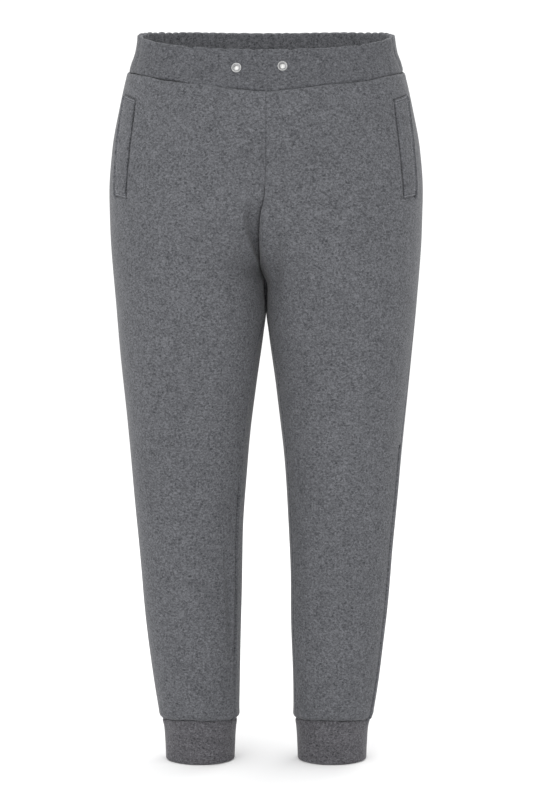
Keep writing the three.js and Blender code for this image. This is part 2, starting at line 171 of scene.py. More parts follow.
def outline_point(table, angle, z):
    """x and y on the rounded outline that a table gives, for the wearer's left side."""
    out = along(table, "out", z)
    split = split_at(z)
    inner = -out * (1 - split) / (1 + split)
    if "inner" in table:
        inner = np.where(z > CROTCH, inner, along(table, "inner", z))
    front, back = along(table, "front", z), along(table, "back", z)
    bend = 2 / along(table, "square", z)
    x = (out + inner) / 2 + (out - inner) / 2 * power(np.cos(angle), bend)
    y = (front + back) / 2 - (back - front) / 2 * power(np.sin(angle), bend)
    return x, y


# What keeps the cloth of the two sides from lying in one plane at the centre
HALF_GAP_OF_SIDES = 0.03


def leg_base(leg, angle, z):
    """A point of a leg's outside. The angle runs from the outer side, by the front, inwards."""
    x, y = outline_point(BODY, angle, z)
    x = x + HALF_GAP_OF_SIDES
    at_front = 1 - smooth(0, 0.4, -np.sin(angle))
    swing = along(SEAM_SWING, "x", z) * at_front * ridge(x, 1, SWING_WIDTH)
    level = slope_of(BAND_EDGE, angle) * smooth(BAND_SEAM - LEVEL_BELOW_BAND, BAND_SEAM, z)
    return np.stack([leg["sign"] * x + swing, y, z + level + cuff_rise(angle, z)], axis=-1)


# The steps round and up a surface that show which way it faces
TURN, CLIMB = 1e-3, 0.05


def facing(surface, angle, z):
    """Points of a surface given by an angle and a height, and their outward directions."""
    round_it = surface(angle + TURN, z) - surface(angle - TURN, z)
    up_it = surface(angle, z + CLIMB) - surface(angle, z - CLIMB)
    out = np.cross(up_it, round_it)
    return surface(angle, z), out / np.linalg.norm(out, axis=-1, keepdims=True)


# Main creases, each a soft trough along a line on the cloth with a low ridge on both sides.
# across is x on a leg's front or back and y on its outer side, and bow is how far the middle of
# the line is lifted. across and z are given at the line's two ends.
CREASE_VALUES = ("leg", "face", "across", "z", "bow", "width", "depth")
CREASES = [dict(zip(CREASE_VALUES, row)) for row in [
    ("left", "front", (12, 15), (-205, -325), 1, 7, 4),
    ("right", "front", (-20, -27), (-170, -282), 3, 12, 1.8),
    ("right", "front", (-30, -62), (-262, -300), -3, 9, 0.9),
    ("left", "front", (34, 70), (-272, -296), 3, 8, 0.7),
    ("right", "front", (-157, -127), (-251, -250), 1, 4, 0.8),
    ("left", "front", (98, 134), (-254, -257), -1, 5, 0.5),
    ("right", "front", (-52, -46), (-650, -810), 0, 5, 2.4),
    ("left", "front", (60, 96), (-560, -574), 4, 12, 0.6),
    ("right", "front", (-140, -96), (-590, -602), -3, 12, 0.6),
    ("left", "back", (12, 104), (-310, -258), -9, 8.5, 9),
    ("left", "back", (18, 76), (-341, -312), -6, 7, 5.5),
    ("right", "back", (-12, -92), (-302, -264), -8, 9.5, 8.4),
    ("right", "back", (-22, -68), (-343, -322), -4, 6.5, 4.8),
    ("left", "back", (8, 40), (-240, -182), 3, 8, 3.4),
    ("right", "back", (-7, -34), (-230, -170), 3, 8.5, 3),
    ("left", "back", (106, 118), (-330, -470), 4, 17, 4),
    ("right", "back", (-98, -112), (-345, -455), 4, 15, 3.4),
    ("left", "back", (52, 138), (-514, -530), -7, 7.5, 6.4),
    ("left", "back", (70, 142), (-556, -548), 5, 6, 3.2),
    ("right", "back", (-142, -60), (-520, -538), -6, 8, 6),
    ("right", "back", (-122, -54), (-571, -562), 4, 5.5, 2.8),
    ("left", "back", (76, 90), (-605, -742), 3, 15, 3),
    ("right", "back", (-94, -82), (-630, -730), 3, 13, 2.6),
    ("left", "back", (58, 118), (-812, -794), 4, 6, 3.4),
    ("right", "back", (-124, -68), (-788, -810), 4, 6, 3),
    ("left", "back", (48, 92), (-846, -832), 3, 5, 2.4),
    ("right", "back", (-88, -46), (-836, -852), 3, 5, 2.2),
    ("left", "outer", (18, 66), (-212, -188), 4, 7, 2.6),
    ("right", "outer", (22, 70), (-226, -200), 4, 7, 2.3),
    ("left", "outer", (14, 56), (-540, -520), 3, 7, 2.8),
    ("right", "outer", (16, 58), (-552, -530), 3, 7, 2.6),
]]
CREASE_POINTS = 60

# The ridges' height, as a share of the crease's depth, and their place and width, as shares of
# its width. No point feels a crease further than four widths from it.
RIDGE_HEIGHT, RIDGE_PLACE, RIDGE_WIDTH = 0.32, 2, 0.9
CREASE_REACH = 4

# The angles between which each face of a leg is looked for, and the axis that across runs along
FACES = {"front": (0, 180, 0), "back": (0, -180, 0), "outer": (-90, 90, 1)}
FACE_POINTS = 181


def crease_line(crease):
    """The crease's line on the base surface, and how full it is at each of its points."""
    leg = LEGS[crease["leg"]]
    first, last, axis = FACES[crease["face"]]
    (across_1, across_2), (z_1, z_2) = crease["across"], crease["z"]
    t = np.linspace(0, 1, CREASE_POINTS)
    across = across_1 + t * (across_2 - across_1)
    z = z_1 + t * (z_2 - z_1) + crease["bow"] * np.sin(np.pi * t)
    angles = np.radians(np.linspace(first, last, FACE_POINTS))
    line = []
    for where, height in zip(across, z):
        ring = leg_base(leg, angles, np.full(FACE_POINTS, height))
        order = np.argsort(ring[:, axis])
        angle = np.interp(where, ring[order, axis], angles[order])
        line.append(leg_base(leg, np.array([angle]), np.array([height]))[0])
    return np.array(line), np.sin(np.pi * t) ** 0.7


CREASE_LINES = [(crease, *crease_line(crease)) for crease in CREASES]


def relief(points):
    """How far the creases and the slack of the cloth lift it.

    The slack is a few long waves across each other. It dies out beside the centre below the
    crotch, where the two legs meet.
    """
    x, y, z = points[..., 0], points[..., 1], points[..., 2]
    lift = 0.45 * np.sin(x / 29 + z / 61 + 1.3) * np.sin(z / 43 - y / 37)
    lift += 0.3 * np.sin(z / 21 + x / 47 - 0.6) * np.sin(y / 31 + x / 53)
    lift *= 1 - ridge(x, 1, 14) * smooth(-275, -300, z)
    for crease, line, full in CREASE_LINES:
        width = crease["width"]
        reach = np.ptp(line, axis=0) / 2 + CREASE_REACH * width
        near = np.all(np.abs(points - line.mean(0)) < reach, axis=-1)
        spots = points[near]
        apart = np.linalg.norm(spots[:, None] - line[None], axis=-1)
        nearest = apart.argmin(1)
        d = apart.min(1) / width
        shape = ridge(d - RIDGE_PLACE, RIDGE_HEIGHT, RIDGE_WIDTH) + ditch(d, 1, 1)
        lift[near] += crease["depth"] * full[nearest] * shape
    return lift


def leg_surface(leg, angle, z, away):
    """Points of the cloth's outside, moved out by a distance, and their outward directions."""
    points, out = facing(lambda a, h: leg_base(leg, a, h), angle, z)
    out *= leg["sign"]
    return points + out * (relief(points) + away)[..., None], out


# The heights at which the outseam starts to turn to the front, at which it has turned, and at
# which the inseam has
OUT_TURN_STARTS, OUT_TURN_FULL, IN_TURN_FULL = -205, -500, -420


def seam_angles(leg, face, z):
    """The angles of a piece's outer seam and of its inner or centre seam at each height."""
    split = split_at(z)
    centre = np.pi - np.arccos(np.clip(split ** (along(BODY, "square", z) / 2), 0, 1))
    out = np.radians(leg["out_turn"]) * smooth(OUT_TURN_STARTS, OUT_TURN_FULL, z)
    turn = np.radians(leg["in_turn"]) * smooth(CROTCH, IN_TURN_FULL, z)
    if face == "front":
        return out, np.where(z <= CROTCH, np.pi - turn, centre)
    return np.where(z <= CROTCH, -np.pi - turn, -centre), out


def gathered(angle):
    """0 at the front of the waist, 1 at the back and the sides."""
    return 1 - smooth(-0.15, 0.55, np.sin(angle))


def uneven(i):
    """A number from 0 to 1 for each whole number, always the same and in no clear order."""
    return np.abs(np.sin(i * 127.1 + 31.7) * 4375.85) % 1


# The spacing of the gathers at the front and at the back and sides, and half the width and depth
# of the waist's top edge
FRONT_PITCH, BACK_PITCH = 30, 13.3
TOP_HALF_WIDTH, TOP_HALF_DEPTH = 168.8, 105


def tuck_angles():
    """The angles of the tucks between the waistband's gathers, all round from the front."""
    angles = [0.0]
    while angles[-1] < 2 * math.pi:
        here = math.pi / 2 + angles[-1]
        share = gathered(here)
        pitch = FRONT_PITCH * (1 - share) + BACK_PITCH * share
        reach = math.hypot(TOP_HALF_WIDTH * math.sin(here), TOP_HALF_DEPTH * math.cos(here))
        angles.append(angles[-1] + pitch * (0.75 + 0.5 * uneven(len(angles) - 1)) / reach)
    return math.pi / 2 + np.array(angles) * 2 * math.pi / angles[-1]


TUCKS = tuck_angles()


def bulge_at(angle):
    """0 at a tuck and up to 1 at the middle of a gather. Each gather has its own height."""
    turned = (angle - TUCKS[0]) % (2 * np.pi) + TUCKS[0]
    i = np.clip(np.searchsorted(TUCKS, turned, side="right") - 1, 0, len(TUCKS) - 2)
    t = (turned - TUCKS[i]) / (TUCKS[i + 1] - TUCKS[i])
    return np.abs(np.sin(np.pi * t)) ** 0.75 * (0.6 + 0.4 * uneven(i + 50))


def waist_wave(angle):
    """How far the waist seam wanders up and down round the body."""
    return 0.7 * np.sin(5 * angle + 0.4) + 0.5 * np.sin(11 * angle + 1.9) + 0.3 * np.sin(23 * angle)


def cuff_wave(leg, angle):
    """How far a cuff's seam wanders up and down round the ankle."""
    side = leg["sign"]
    long_waves = 0.3 * np.sin(3 * angle + side) + 0.25 * np.sin(7 * angle + 2 * side)
    return long_waves + 0.3 * np.sin(13 * angle)


def grid_mesh(name, points, closed, flipped):
    """An object from rows and columns of points in millimetres.

    closed joins the last column to the first, and flipped turns the faces round.
    """
    rows, count = points.shape[:2]
    index = np.arange(rows * count).reshape(rows, count)
    if closed:
        index = np.concatenate([index, index[:, :1]], axis=1)
    quads = np.stack([index[:-1, :-1], index[1:, :-1], index[1:, 1:], index[:-1, 1:]], axis=-1)
    quads = quads.reshape(-1, 4)
    if not flipped:
        quads = quads[:, ::-1]
    mesh = bpy.data.meshes.new(name)
    mesh.from_pydata((points.reshape(-1, 3) * MM).tolist(), [], quads.tolist())
    mesh.validate()
    made = bpy.data.objects.new(name, mesh)
    bpy.context.collection.objects.link(made)
    mesh.shade_smooth()
    return made


def apply_modifier(piece, kind, **settings):
    """Adds a modifier with its settings to a piece, and applies it."""
    bpy.ops.object.select_all(action="DESELECT")
    piece.select_set(True)
    bpy.context.view_layer.objects.active = piece
    modifier = piece.modifiers.new(kind.title(), kind)
    for name, value in settings.items():
        setattr(modifier, name, value)
    bpy.ops.object.modifier_apply(modifier=modifier.name)
    piece.select_set(False)


# Distances of the columns next to a seam, how far the seam allowance reaches into the leg, and
# the heights of a leg's rows, closest at the crotch, the knee folds and the ankle
SEAM_EDGE = [0.02, 0.5, 1, 1.6, 2.4, 3.4, 4.8, 6.5]
ALLOWANCE = np.array([7, 4.5, 2.6, 1.2])
TURNED = len(ALLOWANCE)
HEIGHTS = np.concatenate([
    BAND_SEAM - np.array([*SEAM_EDGE, 9, 12, 16]),
    np.arange(-44, -63, -1),
    np.linspace(-65, -181, 44),
    np.arange(-182, -200, -1),
    np.linspace(-202, -324, 84),
    np.linspace(-327, -490, 41),
    np.linspace(-492, -588, 49),
    np.linspace(-592, -784, 45),
    np.linspace(-787, -868, 33),
    [-871, -874, -877, -879.5, -881.5, -883.3, -885, -886.4, -887.6, -888.6, -889.4, -889.98],
])

# The counts of a front's columns up to the pocket opening, round it, under the welt, round the
# welt's seam, across the front and beside the centre, and of a back's columns; how far the
# closer columns reach from the welt's edges and from the centre; and the points that measure
# the way along a row
FRONT_COLUMNS = [7, 11, 5, 12, 36, 13]
BACK_COLUMNS = 84
BESIDE_WELT, BESIDE_CENTRE = 4, 30
ROW_POINTS = 500

# Where the crotch fold tucks the right front under the left one: the fold's depth, and its
# width from the seam to where the cloth starts to sink. The left front's allowance follows it
# down, by these shares of the fold's depth.
FOLD = columns("z depth width", [
    (-172, 0, 22), (-196, 4, 23), (-216, 11, 22), (-240, 17, 18), (-262, 21, 13), (-276, 18, 9),
    (-292, 11, 8), (-312, 3, 7), (-330, 0, 7),
])
FOLLOWING = np.array([0.2, 0.5, 0.75, 1])

# Half the width of the dark slit in which the two legs meet below the crotch
SLIT = columns("z half", [(-290, 0), (-298, 1.2), (-309, 2.8), (-325, 2.2), (-341, 1.4), (-350, 0)])

# A pocket welt: the heights of its ends, how much lower its inner edge lies than its outer one,
# and for each of these edges the angle round the hip at the top, and how much it grows by the
# bottom
WELT_TOP, WELT_BOTTOM, WELT_SLANT = -52, -188, 4
WELT_EDGES = [(14.5, 9), (29.5, 5.5)]


def welt_angles(leg, z):
    """The angles of the pocket welt's open outer edge and of its inner seam."""
    t = np.clip((z - WELT_TOP) / (WELT_BOTTOM - WELT_TOP), 0, 1)
    lean = t * (1.6 - 0.6 * t)
    return [np.radians(leg["welt_turn"] + top + growth * lean) for top, growth in WELT_EDGES]


def seam_groove(distance, depth=1.2):
    """The dip of a plain seam, with the ridge that the seam allowance under the cloth raises."""
    return ridge(distance - 5, 0.3, 3) + ditch(distance, depth, 1.3)


def leg_columns(leg, face):
    """Where the columns of a piece cross its rows.

    That is their angle, and how far they are along the cloth from the piece's first and last
    edge, from its inner seam, and past the pocket opening and the welt's seam.
    """
    grid = []
    for z in HEIGHTS:
        start, end = seam_angles(leg, face, np.array(z))
        angles = np.linspace(float(start), float(end), ROW_POINTS)
        line = leg_base(leg, angles, np.full(ROW_POINTS, z))
        run = np.concatenate([[0], np.cumsum(np.linalg.norm(np.diff(line, axis=0), axis=1))])
        length = run[-1]
        first, last = SEAM_EDGE[-1] + 1, length - SEAM_EDGE[-1] - 1
        if face == "front":
            opening, sewn = np.interp(welt_angles(leg, z), angles, run)
            marks = [first, opening - BESIDE_WELT, opening + BESIDE_WELT]
            marks += [sewn - BESIDE_WELT, sewn + BESIDE_WELT, length - BESIDE_CENTRE, last]
            spans = [
                np.linspace(a, b, count, endpoint=False)
                for a, b, count in zip(marks, marks[1:], FRONT_COLUMNS)
            ]
            middle = np.concatenate([*spans, marks[-1:]])
        else:
            opening, sewn = 0, 0
            middle = np.linspace(first, last, BACK_COLUMNS)
        at = np.concatenate([SEAM_EDGE, middle, length - np.array(SEAM_EDGE[::-1])])
        at = np.concatenate([np.full(TURNED, at[0]), at, np.full(TURNED, at[-1])])
        from_inner = length - at if face == "front" else at
        angle = np.interp(at, run, angles)
        grid.append((angle, at, length - at, from_inner, at - opening, at - sewn))
    return np.array(grid).transpose(1, 0, 2)


def welt_bed(away, z, past_opening, past_welt):
    """Presses a front in round its welt, and lifts it in front of the opening and past the seam."""
    across = np.clip(past_opening / np.maximum(past_opening - past_welt, 1), 0, 1)
    beside = smooth(-3, 0, past_opening) * smooth(5, 1, past_welt)
    for end in (WELT_TOP, WELT_BOTTOM):
        away = away + ditch(z - end + WELT_SLANT * across, 1.6, 1.3) * beside
    along_welt = smooth(WELT_BOTTOM - 6, WELT_BOTTOM, z) * smooth(WELT_TOP + 1, WELT_TOP - 5, z)
    away = away + (ditch(past_welt, 1.4, 1.1) + ditch(past_opening + 0.5, 2.4, 1.8)) * along_welt
    away = away + ridge(past_welt - 5, 0.7, 3) * along_welt
    rise, fall = smooth(-11, -4, past_opening), smooth(-0.6, -2.2, past_opening)
    return away + 2.6 * rise * fall * along_welt


def leg_piece(side, face):
    leg = LEGS[side]
    angle, from_start, from_end, from_inner, past_opening, past_welt = leg_columns(leg, face)
    z = np.repeat(HEIGHTS[:, None], angle.shape[1], axis=1)
    below_band = BAND_SEAM - z
    above_cuff = z - CUFF_SEAM

    # The seams, deeper below the crotch, the outseam a little shallower than the rest
    deep = 0.9 + 0.3 * smooth(CROTCH, -400, z)
    away = seam_groove(np.minimum(from_start, from_end), deep) + seam_groove(below_band, 1.6)
    away += ridge(from_start if face == "front" else from_end, 0.4, 1)

    # The right inseam is pulled in from the knee to the calf, with a low fold in front of it
    if side == "right":
        beside = ridge(from_inner - 6, 0.8, 2.5) * (face == "front")
        pulled = (ditch(from_inner, 7, 2.1) + beside) * smooth(-530, -610, z)
        away += pulled * smooth(-850, -780, z)

    # Both ends are drawn in: a soft roll over the cuff, the gathers' last reach, and ripples
    away += ditch(above_cuff, 2.2, 2.2) + ridge(above_cuff - 7, 0.5, 4)
    away += 1.1 * gathered(angle) * (bulge_at(angle) - 0.6) * np.exp(-below_band / 20)
    away += 0.6 * np.sin(17 * angle + 3 * np.sin(2 * angle)) * np.exp(-above_cuff / 9)
    if face == "front":
        away = welt_bed(away, z, past_opening, past_welt)
    points, out = leg_surface(leg, angle, z, away)

    # At the centre seam the cloth stays on its own side, and in the slit it is pushed back
    beside_centre = ridge(from_inner, 1, 5) * smooth(CROTCH - 12, CROTCH, z)
    points[..., 0] += (leg_base(leg, angle, z)[..., 0] - points[..., 0]) * beside_centre
    half = along(SLIT, "half", z)
    from_slit = np.abs(points[..., 0] - along(SEAM_SWING, "x", z))
    sunk = smooth(half + 0.8, half - 0.4, from_slit) * np.minimum(half, 1)
    points[..., 1] += 0.8 * np.clip(9 - points[..., 1], 0, 30) * sunk

    # The allowances are turned in, at the centre straight back and pressed to the wearer's left
    turned_in = np.zeros_like(away)
    turned_in[:, :TURNED] = ALLOWANCE
    turned_in[:, -TURNED:] = ALLOWANCE[::-1]
    at_centre = (from_inner < 1) & (z > CROTCH - 30)
    inward = np.where(at_centre[..., None], np.array([0, 1 if face == "front" else -1, 0]), -out)
    points += inward * turned_in[..., None]
    points[..., 0] += 0.045 * turned_in**2 * at_centre
    if face == "front":
        fold = np.maximum(along(FOLD, "depth", z), 0)
        reach = from_inner / along(FOLD, "width", z)
        if side == "right":
            points[..., 1] += fold * (0.75 * smooth(1, 0.6, reach) + 0.25 * np.clip(1 - reach, 0, 1))
        else:
            points[..., 1] += ridge(from_inner, 0.2 * fold, 3.5)
            points[:, -TURNED:, 1] += fold[:, -TURNED:] * FOLLOWING
    points[..., 2] += waist_wave(angle) * np.exp(-below_band / 6)
    points[..., 2] += cuff_wave(leg, angle) * np.exp(-above_cuff / 6)
    made = grid_mesh(f"cloth_{face}_{side}", points, closed=False, flipped=leg["sign"] < 0)
    apply_modifier(made, "SOLIDIFY", thickness=FLEECE * MM, offset=-1)
    return made


# One function turns a hex colour to the linear values that Blender's sockets take.
def srgb(hex_colour):
    parts = [int(hex_colour[i:i + 2], 16) / 255 for i in (1, 3, 5)]
    linear = [p / 12.92 if p <= 0.04045 else ((p + 0.055) / 1.055) ** 2.4 for p in parts]
    return (*linear, 1)


def node(tree, kind, sockets=None, **settings):
    """Adds a node with its settings, and sets or links its sockets."""
    made = tree.nodes.new(kind)
    for name, value in settings.items():
        setattr(made, name, value)
    for socket, value in (sockets or {}).items():
        if isinstance(value, bpy.types.NodeSocket):
            tree.links.new(value, made.inputs[socket])
        else:
            made.inputs[socket].default_value = value
    return made


def melange(name, dark, light, grain):
    """Jersey spun from dark and pale fibres and brushed: a matt, mottled grey with a short nap.

    grain is the size of the flecks in millimetres, coarser than the real fibres, which would be
    too fine to show. The flecks lie along the jersey's rows, so they are a little wider than
    high. The nap gives the sheen that pales the cloth where it turns away from the eye.
    """
    material = bpy.data.materials.new(name)
    material.use_nodes = True
    tree = material.node_tree
    shader = tree.nodes["Principled BSDF"]
    place = node(tree, "ShaderNodeTexCoord").outputs["Object"]
    place = node(tree, "ShaderNodeMapping", {"Vector": place, "Scale": (0.92, 0.92, 1.15)}).outputs[0]
    flecks = node(tree, "ShaderNodeTexNoise", {
        "Vector": place, "Scale": 1 / (grain * MM), "Detail": 1.5, "Roughness": 0.6, "Distortion": 0.8,
    })
    clouds = node(tree, "ShaderNodeTexNoise", {"Vector": place, "Scale": 1 / (5 * grain * MM), "Detail": 1})
    both = node(tree, "ShaderNodeMath", {
        0: clouds.outputs["Fac"], 1: 0.12, 2: flecks.outputs["Fac"],
    }, operation="MULTIPLY_ADD")
    share = node(tree, "ShaderNodeMapRange", {"Value": both.outputs[0], "From Min": 0.33, "From Max": 0.79})
    colour = node(tree, "ShaderNodeMix", {"Factor": share.outputs[0]}, data_type="RGBA")
    colour.inputs["A"].default_value = srgb(dark)
    colour.inputs["B"].default_value = srgb(light)
    wear = node(tree, "ShaderNodeTexNoise", {"Vector": place, "Scale": 1 / (70 * MM), "Detail": 2})
    shade = node(tree, "ShaderNodeMapRange", {
        "Value": wear.outputs["Fac"], "From Min": 0.3, "From Max": 0.7, "To Min": 0.96, "To Max": 1.04,
    })
    worn = node(tree, "ShaderNodeMix", {"Factor": 1.0}, data_type="RGBA", blend_type="MULTIPLY")
    tree.links.new(colour.outputs["Result"], worn.inputs["A"])
    tree.links.new(shade.outputs[0], worn.inputs["B"])
    tree.links.new(worn.outputs["Result"], shader.inputs["Base Color"])
    fuzz = node(tree, "ShaderNodeTexNoise", {
        "Vector": place, "Scale": 1 / (0.8 * MM), "Detail": 3, "Roughness": 0.7,
    })
    nap = node(tree, "ShaderNodeMath", {0: fuzz.outputs["Fac"], 1: flecks.outputs["Fac"]}, operation="ADD")
    bump = node(tree, "ShaderNodeBump", {"Height": nap.outputs[0], "Strength": 0.5, "Distance": 0.6 * MM})
    tree.links.new(bump.outputs[0], shader.inputs["Normal"])
    shader.inputs["Roughness"].default_value = 0.92
    shader.inputs["Specular IOR Level"].default_value = 0.2
    shader.inputs["Sheen Weight"].default_value = 0.16
    shader.inputs["Sheen Roughness"].default_value = 0.4
    return material


# Brushed cotton fleece: soft and without gloss, mottled in two greys
GRAIN = 2.5
fleece = melange("brushed melange fleece", "#36373a", "#6d6e72", GRAIN)

# Width and length of what shows of each sheet laid flat, and its area, all in metres
CUTS = {"front": ((0.27, 0.95), 0.211), "back": ((0.33, 0.97), 0.265)}
for side in LEGS:
    for face, (flat, area) in CUTS.items():
        cloth = leg_piece(side, face)
        cloth.data.materials.append(fleece)
        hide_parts(f"{face}_{side}")
        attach(cloth, "root")


# Pocket welts
# A folded strip of the same fleece over each slanted side pocket, open along its outer edge.
# Its inner edge is sewn into the front, its ends are tacked down with two rows of stitches, and
# one row of paler thread runs beside the fold.
WELT_CLOTH = 2.4

# The welt's size, and how far its rows of stitches are from its fold and from its ends
WELT_WIDTH, WELT_LENGTH = 31, 138
ROW_FROM_FOLD = 4.5
TACKS_FROM_END = (2, 5)


def welt_surface(leg, share, across, away):
    """Points of a welt: share runs from its top to its bottom, across from its fold inwards."""
    z = WELT_TOP + (WELT_BOTTOM - WELT_TOP) * share
    outer, inner = welt_angles(leg, z)
    return leg_surface(leg, outer + (inner - outer) * across, z - WELT_SLANT * across, away)[0]


def welt_piece(side):
    length = np.linspace(0, 1, 130)[:, None]
    across = np.concatenate([[0, 0.01, 0.025, 0.05], np.linspace(0.08, 0.93, 36), [0.955, 0.975, 0.99, 1]])
    length, across = np.broadcast_arrays(length, across[None])
    from_fold = WELT_WIDTH * across
    from_inner = WELT_WIDTH - from_fold
    from_end = WELT_LENGTH * np.minimum(length, 1 - length)
    edge = np.minimum(np.minimum(from_fold * 1.5, from_inner), from_end)
    height = WELT_CLOTH * (1 - np.exp(-edge / 0.7)) + ditch(from_fold - ROW_FROM_FOLD, 0.9, 0.9)
    height += sum(ditch(from_end - tack, 1.8, 0.9) for tack in TACKS_FROM_END)
    height += 0.25 * np.sin(length * 31 + across * 5) * np.minimum(from_end / 8, 1)
    points = welt_surface(LEGS[side], length, across, height + 0.15)
    return grid_mesh(f"welt_{side}", points, closed=False, flipped=LEGS[side]["sign"] < 0)


def stitch_row(leg, start, end, pitch, height):
    """One stitch after another between two places of a welt, as centres and directions."""
    down, over = end[0] - start[0], end[1] - start[1]
    count = round(math.hypot(down * WELT_LENGTH, over * WELT_WIDTH) / pitch)
    t = (np.arange(count) + 0.5) / count
    share, across = start[0] + down * t, start[1] + over * t
    centres = welt_surface(leg, share, across, height)
    step = 1e-3
    ahead = welt_surface(leg, share + down * step, across + over * step, height)
    return list(zip(centres, ahead - centres))


def stitches(name, rows, length, radius):
    """Stitches of thread: short rounded rods, modelled once and copied to each place."""
    bpy.ops.mesh.primitive_uv_sphere_add(segments=6, ring_count=5, radius=radius * MM, location=(0, 0, 0))
    one = bpy.context.active_object
    bpy.ops.object.mode_set(mode="EDIT")
    bpy.ops.mesh.select_all(action="SELECT")
    bpy.ops.transform.resize(value=(1, 1, length / 2 / radius))
    bpy.ops.object.mode_set(mode="OBJECT")
    made = bmesh.new()
    for centre, direction in rows:
        turn = Vector(direction).to_track_quat("Z", "Y").to_matrix().to_4x4()
        one_more = one.data.copy()
        one_more.transform(Matrix.Translation(Vector(centre) * MM) @ turn)
        made.from_mesh(one_more)
        bpy.data.meshes.remove(one_more)
    made.to_mesh(one.data)
    made.free()
    one.name = one.data.name = name
    one.data.shade_smooth()
    return one


# Twisted from plies of 0.5 mm: a shade paler than the cloth, with a low, uneven gloss
thread = bpy.data.materials.new("polyester sewing thread")
thread.use_nodes = True
tree = thread.node_tree
place = node(tree, "ShaderNodeTexCoord").outputs["Object"]
plies = node(tree, "ShaderNodeTexNoise", {"Vector": place, "Scale": 1 / (0.5 * MM), "Detail": 2})
twist = node(tree, "ShaderNodeMapRange", {"Value": plies.outputs["Fac"], "To Min": 0.42, "To Max": 0.58})
tree.links.new(twist.outputs[0], tree.nodes["Principled BSDF"].inputs["Roughness"])
tree.nodes["Principled BSDF"].inputs["Base Color"].default_value = srgb("#8d8e94")

for side, leg in LEGS.items():
    welt = welt_piece(side)
    apply_modifier(welt, "SOLIDIFY", thickness=0.6 * MM, offset=-1)
    welt.data.materials.append(fleece)
    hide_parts(f"pocket_welt_{side}")
    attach(welt, "root")

    # The row beside the fold and those at the ends, by shares of the welt's length and width
    rows = stitch_row(leg, (0.045, 0.145), (0.955, 0.145), pitch=3.6, height=1.75)
    for from_top in (*TACKS_FROM_END, *(WELT_LENGTH - tack for tack in TACKS_FROM_END[::-1])):
        share = from_top / WELT_LENGTH
        rows += stitch_row(leg, (share, 0.05), (share, 0.97), pitch=2.6, height=0.9)
    tacks = stitches(f"welt_stitches_{side}", rows, length=2.8, radius=0.45)
    tacks.data.materials.append(thread)
    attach(tacks, "root")


# Waist elastic
# A white woven elastic, 40 mm wide, in the casing's channel. Only what shows through the
# eyelets is seen, and its weave runs round the waist.

# Woven over rubber cores 1.2 mm apart: bright, matt white with fine ribs. At scale 1 a wave
# texture has 20 radians to the metre.
RIB = 1.2
elastic = bpy.data.materials.new("woven polyester elastic")
elastic.use_nodes = True
tree = elastic.node_tree
place = node(tree, "ShaderNodeTexCoord").outputs["Object"]
cords = node(tree, "ShaderNodeTexWave", {
    "Vector": place, "Scale": 2 * math.pi / 20 / (RIB * MM), "Distortion": 0.4,
}, bands_direction="Z")
weave = node(tree, "ShaderNodeBump", {
    "Height": cords.outputs["Fac"], "Strength": 0.4, "Distance": 0.3 * MM,
})
tree.links.new(weave.outputs[0], tree.nodes["Principled BSDF"].inputs["Normal"])
tree.nodes["Principled BSDF"].inputs["Base Color"].default_value = srgb("#f4f4f2")
tree.nodes["Principled BSDF"].inputs["Roughness"].default_value = 0.8
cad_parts["waist_elastic"].data.materials.clear()
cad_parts["waist_elastic"].data.materials.append(elastic)


# Waistband casing
# The same fleece folded over at the top, with the elastic between its two plies, gathered
# at the back and sides and nearly flat in front. Its plies meet in the waist seam.
BAND = columns("z out front back square", [
    (26, TOP_HALF_WIDTH, -TOP_HALF_DEPTH, TOP_HALF_DEPTH, 2.2),
    (13, 170.2, -106.5, 107, 2.2),
    (2, 172.2, -108.5, 109, 2.2),
    (-8, 175.6, -111.5, 112.5, 2.2),
    (-19, 179.8, -115.2, 116, 2.2),
    (-24, 181.4, -116.2, 117.2, 2.2),
])
BAND_HEIGHT = BAND_TOP - BAND_SEAM
BAND_CLOTH = 4.4
CASING_PLY = 1.2
BAND_COLUMNS = 620
ROUND_POINTS = 4001

# Each eyelet's x, and its place from the waist seam, 0, to the top, 1
EYELETS = {"right": (-38.1, 0.518), "left": (20.8, 0.582)}

# How far the gathers puff out at the front and at the back, how deep the tucks between them
# scallop the top edge, and the share of that which is lost in the middle of the back
FRONT_PUFF, BACK_PUFF, SCALLOP, EVEN_BACK = 0.35, 2.6, 3, 0.7

# Small tucks in the front of the top edge: their x and how far each dips, and their width as a
# share of the waist's half width
FRONT_TUCKS = [(-92, 2), (-48, 0.8), (-12, 1.8), (27, 1.5), (70, 1), (117, 2)]
FRONT_TUCK_WIDTH = 0.022

# The angles of the rows round a fold of the cloth
ROUND_FOLD = np.radians(np.linspace(15, 165, 11))


def band_base(angle, rise):
    """A point of the band's outside. The rise runs from the waist seam, 0, to the top, 1."""
    z = BAND_SEAM + BAND_HEIGHT * rise
    x, y = outline_point(BAND, angle, z)
    slope = slope_of(BAND_EDGE, angle) * (1 - rise) + slope_of(TOP_EDGE, angle) * rise
    return np.stack([x, y, z + slope], axis=-1)


def eyelet_place(x, rise):
    """The point and the outward direction of the band at an eyelet."""
    angles = np.radians(np.linspace(60, 120, 601))
    angle = np.interp(-x, -band_base(angles, np.full(len(angles), rise))[:, 0], angles)
    points, out = facing(band_base, np.array([angle]), np.array([rise]))
    return points[0], out[0]


